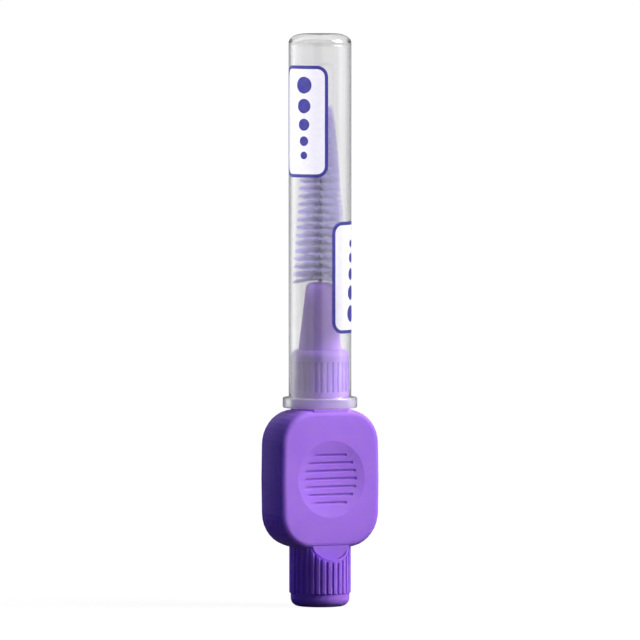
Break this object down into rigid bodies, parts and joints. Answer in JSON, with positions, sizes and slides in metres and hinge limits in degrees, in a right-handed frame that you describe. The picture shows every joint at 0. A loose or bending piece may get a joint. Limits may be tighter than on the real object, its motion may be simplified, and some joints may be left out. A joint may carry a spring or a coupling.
{
  "type": "interdental brush",
  "caption": "Small hand brush for cleaning between teeth: a twisted-wire bristle head on a thumb paddle, under a clear push-on cap.",
  "frame": {"origin": "centre of the flat end of the rear plug, on which the brush stands", "axes": "+Z along the brush axis from the rear plug towards the bristle tip, -Y out of the paddle's front face, +X across the paddle's width"},
  "size_m": [0.013, 0.0084, 0.0646],
  "materials": {
    "handle_plastic": "violet moulded polypropylene, satin with a soft shine",
    "wire_coating": "coated stainless steel wire, semi-matt",
    "bristle_nylon": "translucent pale lilac nylon filaments",
    "cap_clear": "clear moulded plastic, polished"
  },
  "bodies": {
    "brush": {"handle": "handle_plastic", "wire": "wire_coating", "bristles": "bristle_nylon"},
    "cap_body": {"cap": "cap_clear"}
  },
  "joints": [
    {"name": "cap_slide", "type": "slide", "parent": "brush", "child": "cap_body", "axis": [0, 0, 1], "range_m": [0, 0.04]}
  ]
}
